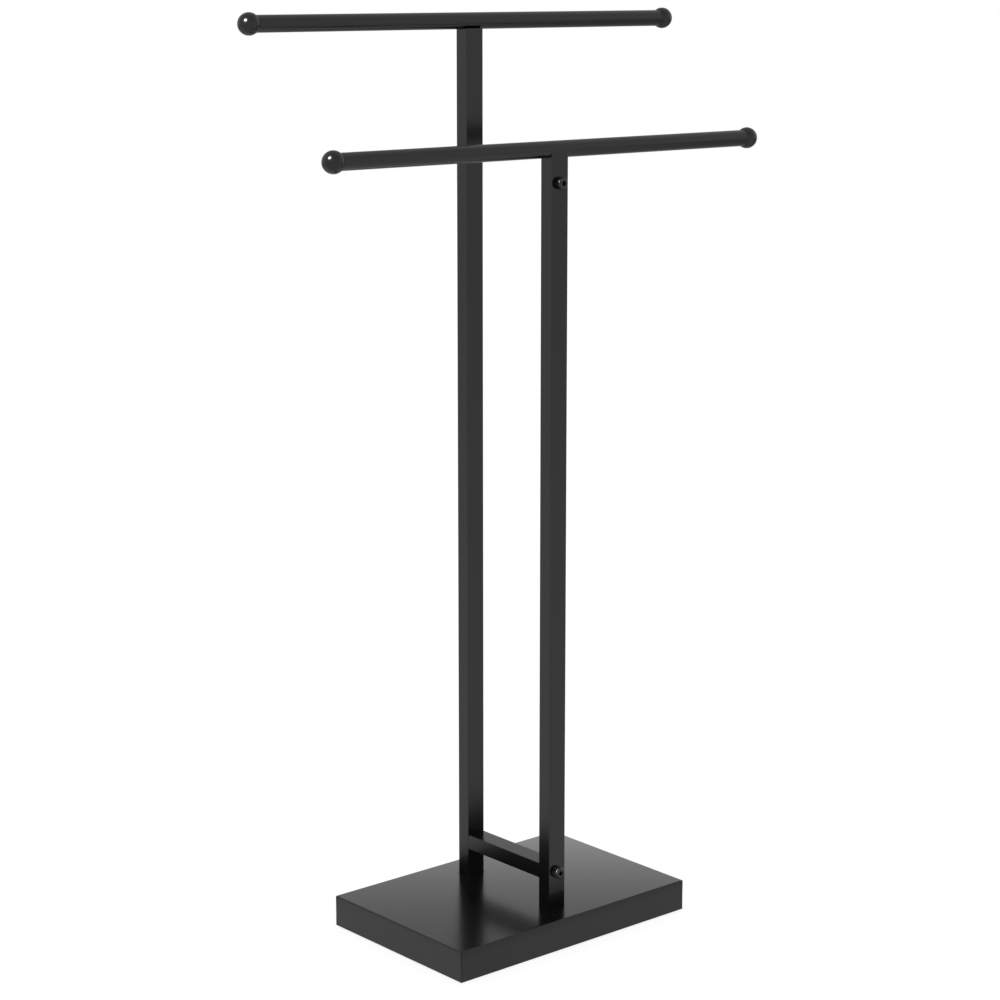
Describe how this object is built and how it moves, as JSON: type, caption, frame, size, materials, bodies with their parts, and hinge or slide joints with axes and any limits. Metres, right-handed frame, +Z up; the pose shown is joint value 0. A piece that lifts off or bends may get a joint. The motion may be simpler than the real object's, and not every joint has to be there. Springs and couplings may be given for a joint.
{
  "type": "freestanding towel stand",
  "caption": "Black steel floor stand with a weighted slab base, a tall rear and a shorter front post of rectangular tube, a stretcher, and round ball-ended towel rails.",
  "frame": {"origin": "on the floor, under the middle of the base", "axes": "+X along the rails, +Y to the back (the taller post), +Z up"},
  "size_m": [0.6036, 0.22, 1.0137],
  "materials": {
    "powder_coat": "satin black powder coat",
    "black_screw": "satin black",
    "plated_steel": "zinc plated",
    "insert_brass": "turned",
    "cast_concrete": "rough cast",
    "foot_rubber": "matte"
  },
  "bodies": {
    "root": {"base_ballast": "cast_concrete", "base_bottom_plate": "powder_coat", "base_shell": "powder_coat", "front_anchor_screw": "plated_steel", "front_anchor_washer": "plated_steel", "front_left_foot": "foot_rubber", "front_left_foot_insert": "insert_brass", "front_left_foot_screw": "plated_steel", "front_post": "powder_coat", "front_post_foot_plug": "plated_steel", "front_rail": "powder_coat", "front_rail_left_ball": "powder_coat", "front_rail_left_end_plug": "plated_steel", "front_rail_left_end_stud": "plated_steel", "front_rail_right_ball": "powder_coat", "front_rail_right_end_plug": "plated_steel", "front_rail_right_end_stud": "plated_steel", "front_rail_screw": "black_screw", "front_rail_stub": "powder_coat", "front_right_foot": "foot_rubber", "front_right_foot_insert": "insert_brass", "front_right_foot_screw": "plated_steel", "front_stretcher_plug": "plated_steel", "front_stretcher_screw": "black_screw", "rear_anchor_screw": "plated_steel", "rear_anchor_washer": "plated_steel", "rear_left_foot": "foot_rubber", "rear_left_foot_insert": "insert_brass", "rear_left_foot_screw": "plated_steel", "rear_post": "powder_coat", "rear_post_foot_plug": "plated_steel", "rear_rail": "powder_coat", "rear_rail_left_ball": "powder_coat", "rear_rail_left_end_plug": "plated_steel", "rear_rail_left_end_stud": "plated_steel", "rear_rail_right_ball": "powder_coat", "rear_rail_right_end_plug": "plated_steel", "rear_rail_right_end_stud": "plated_steel", "rear_rail_screw": "black_screw", "rear_rail_stub": "powder_coat", "rear_right_foot": "foot_rubber", "rear_right_foot_insert": "insert_brass", "rear_right_foot_screw": "plated_steel", "rear_stretcher_plug": "plated_steel", "rear_stretcher_screw": "black_screw", "stretcher": "powder_coat"}
  },
  "joints": []
}
